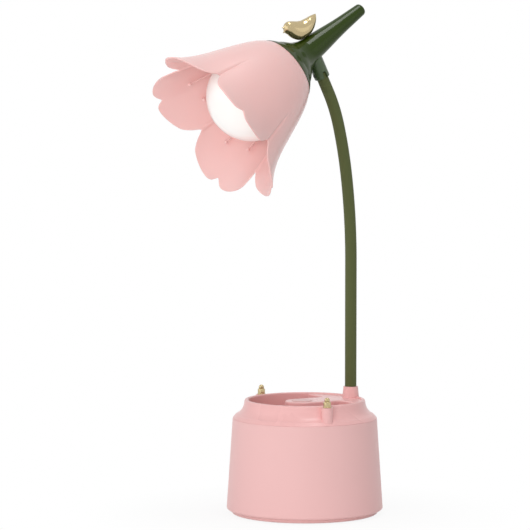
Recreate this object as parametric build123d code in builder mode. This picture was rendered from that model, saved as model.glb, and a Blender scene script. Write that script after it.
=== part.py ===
"""Flower desk lamp with a bending neck and a storage base, in millimetres.

The origin is the centre of the base where it stands on the table. +Z is up, the flower leans
towards -Y, and the outside of the lamp is symmetric about the plane X = 0.
"""
import os
from math import cos, exp, radians, sin, sqrt

from build123d import *

os.makedirs("parts", exist_ok=True)

# Clearances and overruns
fit_gap = 0.05
part_gap = 0.15
slide_gap = 0.1
cut_over = 5.0

# Base body: the radius at the seam leads, and what stands around it follows by an inset
body_top_radius = 53.2
body_taper = 4.55
body_foot_radius = body_top_radius + body_taper
body_top_height = 71.2
body_wall = 2.4
body_foot_round = 1.4
seam_round = 0.5
lip_width = 4.35
lip_thickness = 2.0

# Bottom plate and feet
plate_inset = 3.75
plate_radius = body_foot_radius - plate_inset
plate_top = 3.6
feet_stand = 0.8
plate_edge_chamfer = 0.6
register_wall = 1.6
foot_pad_radius = 4.5
foot_pad_thickness = 2.0
foot_pad_inset = 11.0
foot_pad_reach = plate_radius - foot_pad_inset
foot_pad_round = 0.5

# Screws that hold the plate to the cover's pillars
pillar_inset = 7.7
pillar_reach = body_top_radius - pillar_inset
pillar_radius = 3.0
pillar_count = 4
pillar_turn = 45.0
pillar_top_rise = 2.8
plate_screw_radius = 1.4
plate_screw_head_radius = 2.8
plate_screw_length = 12.0
drive_slot_width = 0.7
drive_slot_depth = 0.7

# Cover: rim, shoulder and register ring
rim_rise = 13.6
rim_inset = 8.9
rim_width = 3.0
rim_outer_radius = body_top_radius - rim_inset
rim_inner_radius = rim_outer_radius - rim_width
rim_round = 1.0
shoulder_edge_inset = 2.1
shoulder_edge_radius = body_top_radius - shoulder_edge_inset
shoulder_edge_rise = 2.4
flare_inset = 6.3
flare_radius = body_top_radius - flare_inset
flare_rise = 5.7
rim_root_inset = 8.3
rim_root_radius = body_top_radius - rim_root_inset
rim_root_rise = 10.4
shoulder_wall = 2.2
ring_height = 5.0
ring_wall = 1.6

# Deck, tongue and storage channel, which ends in front of the neck
stem_inset = 13.4
stem_y = body_top_radius - stem_inset
channel_margin = 15.8
deck_drop = 1.0
deck_thickness = 2.4
deck_edge_round = 1.2
channel_back = stem_y - channel_margin
channel_corner = 3.0
tongue_half_width = 12.5
tongue_centre = -2.5
tray_depth = 31.8
tray_wall = 2.0

# Neck socket on the cover
collar_rise = 7.2
collar_top_radius = 5.4
collar_foot_radius = 6.3
collar_seat_depth = 4.0
nut_seat_drop = 11.4
nut_height = 5.0
nut_radius = 7.5

# Gold pegs
peg_angle = 11.4
peg_inset = 5.0
peg_reach = body_top_radius - peg_inset
peg_boss_radius = 4.25
peg_boss_lift = 0.4
peg_boss_drop = 0.8
peg_height = 7.4
peg_foot_radius = 3.1
peg_drum_radius = 2.75
peg_drum_height = 4.4
peg_ball_radius = 2.0
peg_flange = 0.7
peg_pin_radius = 1.5
peg_pin_length = 8.0

# Button, switch and indicator
button_radius = 7.6
button_proud = 0.5
button_flange_radius = 9.0
button_flange = 1.1
button_travel = 0.8
button_edge_round = 0.4
plunger_radius = 1.6
plunger_length = 3.2
switch_size = 6.0
switch_height = 3.5
switch_round = 0.6
switch_hole_depth = 0.2
board_thickness = 1.6
switch_board_half_width = 9.5
switch_board_back = 17.0
switch_post_x = 6.5
switch_post_y = 13.0
switch_post_radius = 1.9
light_pin_radius = 0.6
light_pin_pitch = 3.0
light_pin_count = 3
light_row_y = 12.0
light_bar_width = 2.4
light_bar_height = 2.0
light_bar_round = 0.8
small_screw_radius = 0.9
small_screw_head_radius = 1.8
small_screw_head = 1.2
small_screw_length = 5.0

# Ballast, battery and main board
ballast_inset = 11.2
ballast_radius = body_top_radius - ballast_inset
ballast_thickness = 8.0
ballast_boss_radius = 5.0
ballast_screw_head_radius = 6.5
ballast_screw_head = 1.6
ballast_screw_radius = 1.5
ballast_screw_length = 7.0
cell_radius = 9.1
cell_length = 65.0
cell_y = -17.9
cell_button_radius = 3.0
cell_button_height = 1.0
cradle_wall = 1.6
cradle_side_height = 9.0
board_post_height = 8.4
board_post_radius = 2.2
board_post_x = 17.5
socket_reach = 3.3
socket_front = body_top_radius + socket_reach
board_tab_margin = 3.5
board_tab_length = 5.5
board_length = 23.0
board_tab_back = socket_front - board_tab_margin
board_back = board_tab_back - board_tab_length
board_front = board_back - board_length
ballast_margin = 4.5
ballast_back = board_front - ballast_margin
board_half_width = 21.0
board_tab_half_width = 9.0
board_hole_inset = 3.5
socket_width = 8.94
socket_height = 3.26
socket_length = 7.3
socket_wall = 0.35
socket_tongue_width = 6.7
socket_tongue_height = 0.7
plug_margin = 5.5
plug_y = board_front + plug_margin
plug_x = 11.0
plug_width = 4.5
plug_length = 5.0
plug_height = 4.0
chip_width = 6.0
chip_length = 8.0
chip_height = 1.2
coil_radius = 3.0
coil_height = 3.4
parts_x = 9.0
parts_margin = 15.5
parts_y = board_front + parts_margin

# Leads
lead_radius = 0.8
lead_bend = 5.0
cell_lead_lift = 1.65
cell_lead_clearance = 4.25
cell_lead_turn_y = 8.0
switch_lead_y = 8.0
switch_lead_lift = 9.4

# Neck: a straight stretch, then arcs that tighten towards the flower
neck_radius = 4.3
neck_bore = 1.5
neck_straight = 93.0
bend_radii = (500.0, 330.0, 120.0)
bend_turns = (7.6, 6.4, 12.0)
neck_last_straight = 35.0
ball_radius = 3.3
ball_gap = 0.3
cup_reach = 1.0
stub_radius = 2.3
shoulder_drop = 2.3
root_joint_rise = 8.0
tip_joint_drop = 7.0
joint_count = 10
thread_radius = 4.0
root_end = 3.0

# Collar under the flower
grip_radius = 5.75
grip_bore = 4.4
grip_length = 18.4
grip_reach = 23.2
cheek_slot_width = 3.0
cheek_slot_height = 5.0
grip_round = 0.5
grip_screw_radius = 1.3
grip_screw_rise = 3.6
grip_screw_proud = 0.2

# Flower head: its axis crosses the end of the neck at this depth behind the shade's root
crossing_depth = 20.73
flower_lean = 34.0
petal_turn = 3.0
petal_count = 5

# Shade: a bell that swells from its root, widens steadily and flares at its mouth.
# Depths are counted along the flower's axis from the shade's root.
shade_depth = 82.0
shade_root_radius = 20.0
shade_wall = 2.0
bell_swell = 9.2
bell_swell_run = 10.6
bell_widening = 0.296
bell_flare = 10.8
bell_flare_run = 16.0
valley_depth = 66.2
crease_start = 36.0
crease_depth = 2.6
ring_shares = (0.0, 0.06, 0.14, 0.26, 0.42, 0.58, 0.72, 0.84, 0.93, 1.0)
gap_half_width = 27.4
gap_outline_shares = ((0.168, 0.380), (0.241, 0.525), (0.343, 0.677), (0.635, 0.870))
gap_foot_round = 1.0
notch_half_width = 8.0
notch_depth = 3.8
notch_outline_shares = ((0.400, 0.580), (0.700, 0.900))
notch_foot_round = 0.5
shade_back_depth = 6.4
shade_back_radius = 12.0
shade_back_mid_radius = 17.0
shade_back_mid_depth = 3.4
shade_hole_radius = 5.0

# Calyx and its horn
calyx_radius = 22.2
calyx_reach = 5.2
calyx_gap = 0.35
calyx_lip = 0.6
horn_length = 74.2
horn_outline_shares = ((0.072, 0.766), (0.112, 0.635), (0.155, 0.550), (0.222, 0.455),
                       (0.333, 0.414), (0.389, 0.396), (0.667, 0.279), (0.980, 0.198))
horn_tip_radius = 3.4
horn_hollow_shares = ((0.150, 0.400), (0.222, 0.374), (0.389, 0.315), (0.667, 0.190),
                      (0.720, 0.150))
head_boss_reach = 8.2
head_boss_radius = 2.2
head_boss_depth = 12.5
head_screw_radius = 0.85
head_screw_head_radius = 1.8
head_screw_length = 12.0
head_screw_count = 3

# Bulb holder, LED board, stamens and globe
holder_hole_radius = 3.0
holder_floor = 1.4
holder_radius = 20.2
holder_top = 10.0
holder_step = 4.7
holder_step_radius = 16.9
holder_foot_radius = 11.0
holder_flare_radius = 13.5
holder_flare_depth = 2.4
holder_mid_radius = 17.0
holder_mid_height = 0.4
holder_shoulder_height = 3.6
led_board_radius = 16.5
led_size = 2.8
led_height = 0.8
led_reach = 10.0
led_count = 6
globe_radius = 32.8
globe_centre = 39.6
globe_wall = 2.0
globe_neck_radius = 18.6
globe_neck_top = 12.0
globe_mouth_depth = 14.0
stamen_ring_radius = 23.0
stamen_ring_thickness = 1.4
stamen_radius = 0.6
stamen_knob_radius = 1.4
stamen_root_radius = 22.3
stamen_mid_gap = 3.57
stamen_mid_depth = 37.0
stamen_side_angle = 12.0
stamen_long_gap = 6.16
stamen_long_depth = 60.5
stamen_short_gap = 5.6
stamen_short_depth = 55.0

# Bird: how far back along the horn it sits, then its stations as shares of its length:
# behind the seat, above the seat, half its height there and half its width there
bird_seat_depth = 16.0
bird_length = 28.0
bird_seat_lift = 0.6
bird_station_shares = ((-0.442, 0.337, 0.061, 0.057), (-0.414, 0.337, 0.114, 0.104),
                       (-0.367, 0.340, 0.159, 0.146), (-0.240, 0.308, 0.202, 0.177),
                       (-0.105, 0.276, 0.236, 0.196), (0.017, 0.267, 0.252, 0.207),
                       (0.136, 0.306, 0.248, 0.207), (0.283, 0.380, 0.230, 0.186),
                       (0.371, 0.458, 0.192, 0.150), (0.451, 0.556, 0.126, 0.100),
                       (0.492, 0.630, 0.070, 0.054), (0.508, 0.687, 0.020, 0.016))
bird_station_tilts = (-4.0, -4.0, -4.0, -8.6, -10.9, -3.6, 0.0, 5.3, 10.0, 13.0, 13.0, 13.0)
beak_place_shares = (-0.319, 0.347)
beak_droops = (1.0, 41.0)
beak_reaches = (5.0, 6.2)
beak_root_radius = 2.4
beak_tip_radius = 0.35
bird_pin_radius = 1.2
bird_pin_length = 4.5

# Worked out from the sizes above
plate_thickness = plate_top - feet_stand
lip_inner_radius = body_foot_radius - body_wall - lip_width
ring_outer_radius = body_top_radius - body_wall - part_gap
ring_inner_radius = ring_outer_radius - ring_wall
rim_top = body_top_height + rim_rise
shoulder_edge_height = body_top_height + shoulder_edge_rise
flare_height = body_top_height + flare_rise
rim_root_height = body_top_height + rim_root_rise
deck_top = rim_top - deck_drop
deck_under = deck_top - deck_thickness
tray_floor = deck_top - tray_depth
pillar_top = body_top_height + pillar_top_rise
peg_boss_foot = body_top_height + peg_boss_lift
peg_boss_top = rim_top - peg_boss_drop
collar_top = rim_top + collar_rise
collar_seat = collar_top - collar_seat_depth
nut_seat = deck_under - nut_seat_drop
root_foot = nut_seat - nut_height - root_end
button_foot = deck_under - slide_gap - button_flange
plunger_foot = button_foot - plunger_length
switch_board_top = (plunger_foot - button_travel - slide_gap + switch_hole_depth
                    - switch_height)
ballast_top = plate_top + ballast_thickness
board_bottom = plate_top + board_post_height
board_top = board_bottom + board_thickness
cell_z = ballast_top + cradle_wall + cell_radius + fit_gap
switch_board_bottom = switch_board_top - board_thickness
joint_first = root_joint_rise
joint_last = (neck_straight + sum(r * radians(t) for r, t in zip(bend_radii, bend_turns))
              + neck_last_straight - grip_reach - tip_joint_drop)
joint_pitch = (joint_last - joint_first) / (joint_count - 1)
joint_runs = [joint_first + joint_pitch * n for n in range(joint_count)]
neck_length = joint_last + tip_joint_drop + grip_reach
grip_low = neck_length - grip_reach
grip_high = grip_low + grip_length
pegs = [(side * peg_reach * cos(radians(peg_angle)), -peg_reach * sin(radians(peg_angle)))
        for side in (-1, 1)]



def neck_place(run):
    """The frame on the neck's centreline at a run above the collar, with Z along the neck."""
    y, z, lean, left = stem_y, collar_top, 0.0, run
    stretches = [(None, neck_straight)]
    stretches += [(r, r * radians(t)) for r, t in zip(bend_radii, bend_turns)]
    stretches += [(None, left)]
    for radius, length in stretches:
        step = min(left, length)
        if radius:
            turn = step / radius
            y -= radius * (cos(lean) - cos(lean + turn))
            z += radius * (sin(lean + turn) - sin(lean))
            lean += turn
        else:
            y -= step * sin(lean)
            z += step * cos(lean)
        left -= step
        if length > step:
            break
    return Plane(origin=(0, y, z), x_dir=(1, 0, 0), z_dir=(0, -sin(lean), cos(lean)))


head_out = Vector(0, -cos(radians(flower_lean)), -sin(radians(flower_lean)))
head = Plane(origin=neck_place(neck_length).origin + head_out * crossing_depth,
             x_dir=(1, 0, 0), z_dir=head_out)


def finish(piece, name):
    """Label a finished piece and write it to its own file."""
    piece.part.label = name
    export_step(piece.part, f"parts/{name}.step")


def upright(x, y, z=0.0):
    """A level frame that stands at a point of the base."""
    return Plane(origin=(x, y, z))


def flower(depth):
    """A frame square to the flower's axis, at a depth in front of the shade's root."""
    return Plane(origin=head.origin + head.z_dir * depth, x_dir=head.x_dir, z_dir=head.z_dir)


def turned(frame, points, mode=Mode.ADD):
    """A closed outline of (radius, height) points, spun about the frame's Z axis."""
    with BuildSketch(Plane(origin=frame.origin, x_dir=frame.x_dir, z_dir=-frame.y_dir)) as outline:
        with BuildLine():
            Polyline(*points, close=True)
        make_face()
    revolve(outline.sketch, axis=Axis(frame.origin, frame.z_dir), mode=mode)


def rod(frame, radius, length, mode=Mode.ADD):
    """A round rod or hole that starts at the frame and runs along its Z axis."""
    with BuildSketch(frame) as section:
        Circle(radius)
    extrude(section.sketch, amount=length, mode=mode)


def screw(frame, radius, length, head_radius, head_height):
    """A pan-head screw: its head stands on the frame and its shank runs along -Z."""
    turned(frame, [(0, -length), (radius, -length), (radius, 0), (head_radius, 0),
                   (head_radius, head_height), (0, head_height)])
    with BuildSketch(Plane(origin=frame.origin + frame.z_dir * head_height, x_dir=frame.x_dir,
                           z_dir=frame.z_dir)) as slot:
        Rectangle(head_radius, drive_slot_width)
        Rectangle(drive_slot_width, head_radius)
    extrude(slot.sketch, amount=-head_height / 2, mode=Mode.SUBTRACT)


def sunk_screw(frame, radius, length, head_radius):
    """A countersunk screw: its flat head lies on the frame and its shank runs along -Z."""
    turned(frame, [(0, -length), (radius, -length), (radius, radius - head_radius),
                   (head_radius, 0), (0, 0)])
    with BuildSketch(frame) as slot:
        Rectangle(head_radius, drive_slot_width)
        Rectangle(drive_slot_width, head_radius)
    extrude(slot.sketch, amount=-drive_slot_depth, mode=Mode.SUBTRACT)


def lead(points, bend):
    """An insulated wire along straight runs that are joined by arcs."""
    with BuildLine() as route:
        FilletPolyline(*points, radius=bend)
    start = Vector(*points[0])
    with BuildSketch(Plane(origin=start, z_dir=Vector(*points[1]) - start)) as section:
        Circle(lead_radius)
    sweep(section.sketch, path=route.wire())


def polar(radius, turn):
    """A point at a radius and at an angle in degrees from +X."""
    return (radius * cos(radians(turn)), radius * sin(radians(turn)))


# Bottom plate: clamps the shell's lip, carries the ballast boss and the board posts
pillar_spots = [polar(pillar_reach, pillar_turn + 360 / pillar_count * n)
                for n in range(pillar_count)]
foot_spots = [(0, 0)] + [polar(foot_pad_reach, 360 / pillar_count * n) for n in range(pillar_count)]
board_post_spots = [(side * board_post_x, y) for side in (-1, 1)
                    for y in (board_front + board_hole_inset, board_back - board_hole_inset)]

with BuildPart() as bottom_plate:
    with BuildSketch(Plane.XY.offset(feet_stand)):
        Circle(plate_radius)
    extrude(amount=plate_thickness)
    chamfer(bottom_plate.edges().filter_by(GeomType.CIRCLE).sort_by(Axis.Z)[0],
            length=plate_edge_chamfer)
    with BuildSketch(Plane.XY.offset(plate_top)):
        Circle(lip_inner_radius - part_gap)
        Circle(lip_inner_radius - part_gap - register_wall, mode=Mode.SUBTRACT)
    extrude(amount=lip_thickness)
    rod(upright(0, 0, plate_top), ballast_boss_radius, ballast_thickness - slide_gap)
    for x, y in board_post_spots:
        rod(upright(x, y, plate_top), board_post_radius, board_post_height)
        rod(upright(x, y, board_bottom - small_screw_length), small_screw_radius + fit_gap,
            small_screw_length, mode=Mode.SUBTRACT)
    rod(upright(0, 0, ballast_top - ballast_screw_length), ballast_screw_radius + fit_gap,
        ballast_screw_length, mode=Mode.SUBTRACT)
    for x, y in foot_spots:
        rod(upright(x, y, feet_stand), foot_pad_radius + part_gap,
            foot_pad_thickness - feet_stand, mode=Mode.SUBTRACT)
    with Locations(Plane(origin=(0, 0, feet_stand), x_dir=(1, 0, 0), z_dir=(0, 0, -1))):
        with Locations(*[(x, -y) for x, y in pillar_spots]):
            CounterSinkHole(plate_screw_radius + part_gap, plate_screw_head_radius + part_gap,
                            depth=plate_thickness + cut_over)
finish(bottom_plate, "bottom_plate")

with BuildPart() as rubber_feet:
    for x, y in foot_spots:
        rod(upright(x, y), foot_pad_radius, foot_pad_thickness)
    fillet(rubber_feet.edges().filter_by(GeomType.CIRCLE).group_by(Axis.Z)[0],
           radius=foot_pad_round)
finish(rubber_feet, "rubber_feet")

with BuildPart() as plate_screws:
    for x, y in pillar_spots:
        sunk_screw(Plane(origin=(x, y, feet_stand + slide_gap), z_dir=(0, 0, -1)),
                   plate_screw_radius, plate_screw_length, plate_screw_head_radius)
finish(plate_screws, "plate_screws")

# Body shell: a tapered cup with an inward lip at its foot and a socket window at the back
with BuildPart() as body_shell:
    lip_top = plate_top + lip_thickness
    turned(upright(0, 0), [(lip_inner_radius, plate_top), (body_foot_radius, plate_top),
                           (body_top_radius, body_top_height),
                           (body_top_radius - body_wall, body_top_height),
                           (body_foot_radius - body_wall, lip_top), (lip_inner_radius, lip_top)])
    fillet(body_shell.edges().group_by(Axis.Z)[0].sort_by(SortBy.LENGTH)[-1],
           radius=body_foot_round)
    fillet(body_shell.edges().group_by(Axis.Z)[-1].sort_by(SortBy.LENGTH)[-1], radius=seam_round)
    with BuildSketch(Plane(origin=(0, board_back, board_top + socket_height / 2),
                           x_dir=(-1, 0, 0), z_dir=(0, 1, 0))):
        RectangleRounded(socket_width + 2 * part_gap, socket_height + 2 * part_gap,
                         socket_height / 2)
    extrude(amount=body_foot_radius, mode=Mode.SUBTRACT)
finish(body_shell, "body_shell")

# Top cover: shoulder and rim, deck with its tongue, storage channel, pillars and bosses
with BuildSketch(Plane.XY) as channel:
    Circle(rim_inner_radius)
    with Locations((0, channel_back)):
        Rectangle(2 * rim_inner_radius, 2 * rim_inner_radius, align=(Align.CENTER, Align.MIN),
                  mode=Mode.SUBTRACT)
    with Locations((0, tongue_centre)):
        Circle(tongue_half_width, mode=Mode.SUBTRACT)
        Rectangle(2 * tongue_half_width, channel_back - tongue_centre,
                  align=(Align.CENTER, Align.MIN), mode=Mode.SUBTRACT)
    fillet(channel.vertices().group_by(Axis.Y)[-1], radius=channel_corner)

with BuildSketch(Plane.XY) as well:
    add(channel.sketch)
    offset(amount=tray_wall)

with BuildPart() as deck:
    with BuildSketch(Plane.XY.offset(deck_under)):
        Circle((rim_inner_radius + rim_outer_radius) / 2)
        add(channel.sketch, mode=Mode.SUBTRACT)
    extrude(amount=deck_thickness)
    fillet(deck.faces().sort_by(Axis.Z)[-1].inner_wires()[0].edges(), radius=deck_edge_round)

with BuildPart() as top_cover:
    ring_foot = body_top_height - ring_height
    with BuildSketch(Plane.XZ):
        with BuildLine():
            Polyline((ring_inner_radius, ring_foot), (ring_outer_radius, ring_foot),
                     (ring_outer_radius, body_top_height), (body_top_radius, body_top_height))
            Line((body_top_radius, body_top_height), (shoulder_edge_radius, shoulder_edge_height))
            ThreePointArc((shoulder_edge_radius, shoulder_edge_height),
                          (flare_radius, flare_height), (rim_root_radius, rim_root_height))
            Polyline((rim_root_radius, rim_root_height), (rim_outer_radius, rim_top),
                     (rim_inner_radius, rim_top), (rim_inner_radius, flare_height),
                     (flare_radius - shoulder_wall, flare_height - shoulder_wall),
                     (ring_inner_radius, body_top_height), (ring_inner_radius, ring_foot))
        make_face()
    revolve(axis=Axis.Z)
    fillet(top_cover.edges().filter_by(GeomType.CIRCLE).group_by(Axis.Z)[-1], radius=rim_round)
    add(deck.part)
    extrude(Plane.XY.offset(tray_floor - tray_wall) * well.sketch,
            amount=deck_under - tray_floor + tray_wall)
    for x, y in pegs:
        rod(upright(x, y, peg_boss_foot), peg_boss_radius, peg_boss_top - peg_boss_foot)
    for x, y in pillar_spots:
        rod(upright(x, y, plate_top), pillar_radius, pillar_top - plate_top)
    turned(upright(0, stem_y), [(0, nut_seat), (collar_foot_radius, nut_seat),
                                (collar_foot_radius, deck_top), (collar_top_radius, collar_top),
                                (0, collar_top)])
    extrude(Plane.XY.offset(tray_floor) * channel.sketch,
            amount=deck_under - tray_floor, mode=Mode.SUBTRACT)
    for side in (-1, 1):
        rod(upright(side * switch_post_x, switch_post_y, switch_board_top), switch_post_radius,
            deck_under - switch_board_top)
        rod(upright(side * switch_post_x, switch_post_y, switch_board_top),
            small_screw_radius + fit_gap, small_screw_length, mode=Mode.SUBTRACT)
    for n in range(light_pin_count):
        rod(upright(0, light_row_y + light_pin_pitch * (n - (light_pin_count - 1) / 2),
                    deck_under), light_pin_radius + fit_gap, deck_thickness, mode=Mode.SUBTRACT)
    rod(upright(0, tongue_centre, deck_under), button_radius + slide_gap, deck_thickness,
        mode=Mode.SUBTRACT)
    rod(upright(0, stem_y, nut_seat), thread_radius + fit_gap, collar_top - nut_seat,
        mode=Mode.SUBTRACT)
    rod(upright(0, stem_y, collar_seat), neck_radius + slide_gap, collar_top - collar_seat,
        mode=Mode.SUBTRACT)
    for x, y in pegs:
        rod(upright(x, y, peg_boss_top - peg_pin_length), peg_pin_radius + fit_gap,
            peg_pin_length, mode=Mode.SUBTRACT)
    for x, y in pillar_spots:
        rod(upright(x, y, plate_top), plate_screw_radius + fit_gap,
            plate_screw_length, mode=Mode.SUBTRACT)
finish(top_cover, "top_cover")

# Turned gold pegs with a flange, a drum and a ball
for (peg_x, peg_y), peg_name in zip(pegs, ("left_peg", "right_peg")):
    with BuildPart() as peg:
        ball_centre = peg_height - peg_ball_radius
        turned(upright(peg_x, peg_y, peg_boss_top), [
            (0, -peg_pin_length), (peg_pin_radius, -peg_pin_length), (peg_pin_radius, 0),
            (peg_foot_radius, 0), (peg_foot_radius, peg_flange), (peg_drum_radius, peg_flange),
            (peg_drum_radius, peg_drum_height), (0, peg_drum_height)])
        with Locations((peg_x, peg_y, peg_boss_top + ball_centre)):
            Sphere(peg_ball_radius)
    finish(peg, peg_name)

# Button in the tongue, with the switch under it
button_top = deck_top + button_proud
with BuildPart() as power_button:
    turned(upright(0, tongue_centre), [
        (0, button_foot), (button_flange_radius, button_foot),
        (button_flange_radius, button_foot + button_flange),
        (button_radius, button_foot + button_flange), (button_radius, button_top),
        (0, button_top)])
    fillet(power_button.edges().group_by(Axis.Z)[-1], radius=button_edge_round)
finish(power_button, "power_button")

with BuildPart() as switch_plunger:
    rod(upright(0, tongue_centre, plunger_foot), plunger_radius, plunger_length)
finish(switch_plunger, "switch_plunger")

with BuildPart() as switch_body:
    with BuildSketch(upright(0, tongue_centre, switch_board_top)):
        RectangleRounded(switch_size, switch_size, switch_round)
    extrude(amount=switch_height)
    rod(upright(0, tongue_centre, plunger_foot - button_travel - slide_gap),
        plunger_radius + slide_gap, switch_height + plunger_length, mode=Mode.SUBTRACT)
finish(switch_body, "switch_body")

with BuildPart() as switch_board:
    with BuildSketch(Plane.XY.offset(switch_board_bottom)):
        with Locations((0, tongue_centre)):
            Circle(switch_board_half_width)
            Rectangle(2 * switch_board_half_width, switch_board_back - tongue_centre,
                      align=(Align.CENTER, Align.MIN))
        with Locations((-switch_post_x, switch_post_y), (switch_post_x, switch_post_y)):
            Circle(small_screw_radius + part_gap, mode=Mode.SUBTRACT)
    extrude(amount=board_thickness)
finish(switch_board, "switch_board")

with BuildPart() as switch_board_screws:
    for side in (-1, 1):
        screw(Plane(origin=(side * switch_post_x, switch_post_y, switch_board_bottom),
                    z_dir=(0, 0, -1)), small_screw_radius, small_screw_length,
              small_screw_head_radius, small_screw_head)
finish(switch_board_screws, "switch_board_screws")

with BuildPart() as indicator_lens:
    with BuildSketch(upright(0, light_row_y, deck_under - light_bar_height)):
        RectangleRounded(light_bar_width, light_pin_pitch * light_pin_count, light_bar_round)
    extrude(amount=light_bar_height)
    for n in range(light_pin_count):
        rod(upright(0, light_row_y + light_pin_pitch * (n - (light_pin_count - 1) / 2),
                    deck_under), light_pin_radius, deck_thickness)
finish(indicator_lens, "indicator_lens")

# Nut that pulls the neck's threaded root down on the cover
with BuildPart() as neck_nut:
    with BuildSketch(upright(0, stem_y, nut_seat - nut_height)):
        RegularPolygon(nut_radius, 6)
        Circle(thread_radius + fit_gap, mode=Mode.SUBTRACT)
    extrude(amount=nut_height)
finish(neck_nut, "neck_nut")

# Ballast that keeps the lamp standing, and its screw
with BuildPart() as ballast_plate:
    with BuildSketch(Plane.XY.offset(plate_top)):
        Circle(ballast_radius)
        with Locations((0, ballast_back)):
            Rectangle(2 * ballast_radius, 2 * ballast_radius, align=(Align.CENTER, Align.MIN),
                      mode=Mode.SUBTRACT)
        Circle(ballast_boss_radius + slide_gap, mode=Mode.SUBTRACT)
    extrude(amount=ballast_thickness)
finish(ballast_plate, "ballast_plate")

with BuildPart() as ballast_screw:
    screw(upright(0, 0, ballast_top), ballast_screw_radius,
          ballast_screw_length - slide_gap, ballast_screw_head_radius, ballast_screw_head)
finish(ballast_screw, "ballast_screw")

# Battery cell in its cradle
cell_total = cell_length + cell_button_height
cradle_length = cell_total + 2 * cradle_wall + 2 * part_gap
cradle_width = 2 * (cell_radius + part_gap + cradle_wall)
with BuildPart() as battery_cradle:
    with BuildSketch(upright(0, cell_y, ballast_top)):
        RectangleRounded(cradle_length, cradle_width, cradle_wall)
    extrude(amount=cradle_side_height)
    with BuildSketch(upright(0, cell_y, ballast_top + cradle_wall)):
        Rectangle(cradle_length - 2 * cradle_wall, cradle_width - 2 * cradle_wall)
    extrude(amount=cradle_side_height, mode=Mode.SUBTRACT)
finish(battery_cradle, "battery_cradle")

with BuildPart() as battery_cell:
    turned(Plane(origin=(-cell_total / 2, cell_y, cell_z), x_dir=(0, 1, 0), z_dir=(1, 0, 0)), [
        (0, 0), (cell_radius, 0), (cell_radius, cell_length), (cell_button_radius, cell_length),
        (cell_button_radius, cell_total), (0, cell_total)])
finish(battery_cell, "battery_cell")

# Main board with its socket, plugs and parts
plug_spots = [(-plug_x, plug_y), (0, plug_y), (plug_x, plug_y), (0, stem_y)]
with BuildPart() as main_board:
    with BuildSketch(Plane.XY.offset(board_bottom)):
        with Locations((0, board_front)):
            Rectangle(2 * board_half_width, board_back - board_front,
                      align=(Align.CENTER, Align.MIN))
            Rectangle(2 * board_tab_half_width, board_tab_back - board_front,
                      align=(Align.CENTER, Align.MIN))
        with Locations(*board_post_spots):
            Circle(small_screw_radius + part_gap, mode=Mode.SUBTRACT)
    extrude(amount=board_thickness)
finish(main_board, "main_board")

with BuildPart() as board_screws:
    for x, y in board_post_spots:
        screw(upright(x, y, board_top), small_screw_radius,
              small_screw_length, small_screw_head_radius, small_screw_head)
finish(board_screws, "board_screws")

with BuildPart() as board_plugs:
    with BuildSketch(Plane.XY.offset(board_top)):
        with Locations(*plug_spots):
            Rectangle(plug_width, plug_length)
    extrude(amount=plug_height)
finish(board_plugs, "board_plugs")

with BuildPart() as board_parts:
    with BuildSketch(Plane.XY.offset(board_top)):
        with Locations((-parts_x, parts_y)):
            Rectangle(chip_width, chip_length)
    extrude(amount=chip_height)
    rod(upright(parts_x, parts_y, board_top), coil_radius, coil_height)
finish(board_parts, "board_parts")

with BuildPart() as charge_socket:
    mouth = Plane(origin=(0, socket_front, board_top + socket_height / 2), x_dir=(-1, 0, 0),
                  z_dir=(0, 1, 0))
    with BuildSketch(mouth):
        RectangleRounded(socket_width, socket_height, socket_height / 2 - socket_wall)
    extrude(amount=-socket_length)
    with BuildSketch(mouth):
        RectangleRounded(socket_width - 2 * socket_wall, socket_height - 2 * socket_wall,
                         socket_height / 2 - 2 * socket_wall)
    extrude(amount=socket_wall - socket_length, mode=Mode.SUBTRACT)
    with BuildSketch(Plane(origin=mouth.origin - mouth.z_dir * socket_length,
                           x_dir=mouth.x_dir, z_dir=mouth.z_dir)):
        Rectangle(socket_tongue_width, socket_tongue_height)
    extrude(amount=socket_length - 2 * socket_wall)
finish(charge_socket, "charge_socket")

# Leads in the base: from both ends of the cell, from the switch and from the neck
plug_top = board_top + plug_height
cell_lead_x = cradle_length / 2 + cell_lead_clearance
cell_lead_z = cell_z + cell_lead_lift
switch_lead_z = plug_top + switch_lead_lift
with BuildPart() as battery_leads:
    for side in (-1, 1):
        lead([(side * (cradle_length / 2 - cradle_wall), cell_y, cell_lead_z),
              (side * cell_lead_x, cell_y, cell_lead_z),
              (side * cell_lead_x, cell_lead_turn_y, cell_lead_z),
              (side * plug_x, plug_y, cell_lead_z), (side * plug_x, plug_y, plug_top)],
             lead_bend)
finish(battery_leads, "battery_leads")

with BuildPart() as switch_lead:
    lead([(0, switch_lead_y, switch_board_bottom), (0, switch_lead_y, switch_lead_z),
          (0, plug_y, switch_lead_z), (0, plug_y, plug_top)], lead_bend)
finish(switch_lead, "switch_lead")

with BuildPart() as neck_lead:
    rod(upright(0, stem_y, plug_top), lead_radius, root_foot + root_joint_rise - plug_top)
finish(neck_lead, "neck_lead")


# Neck: one threaded root, nine links and the tip that the flower's collar grips
def spine(start, end):
    """Lines and arcs of the neck's centreline between two runs."""
    marks = [neck_straight]
    for radius, turn in zip(bend_radii, bend_turns):
        marks.append(marks[-1] + radius * radians(turn))
    stops = [start] + [mark for mark in marks if start < mark < end] + [end]
    for low, high in zip(stops, stops[1:]):
        ends = neck_place(low), neck_place(high)
        if abs(ends[0].z_dir.get_angle(ends[1].z_dir)) > 0.01:
            ThreePointArc(ends[0].origin, neck_place((low + high) / 2).origin, ends[1].origin)
        else:
            Line(ends[0].origin, ends[1].origin)


def swept(start, end, radius, mode=Mode.ADD):
    """A round bar or hole that follows the neck's centreline between two runs."""
    with BuildLine() as line:
        spine(start, end)
    with BuildSketch(neck_place(start)) as section:
        Circle(radius)
    sweep(section.sketch, path=line.wire(), mode=mode)


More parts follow.
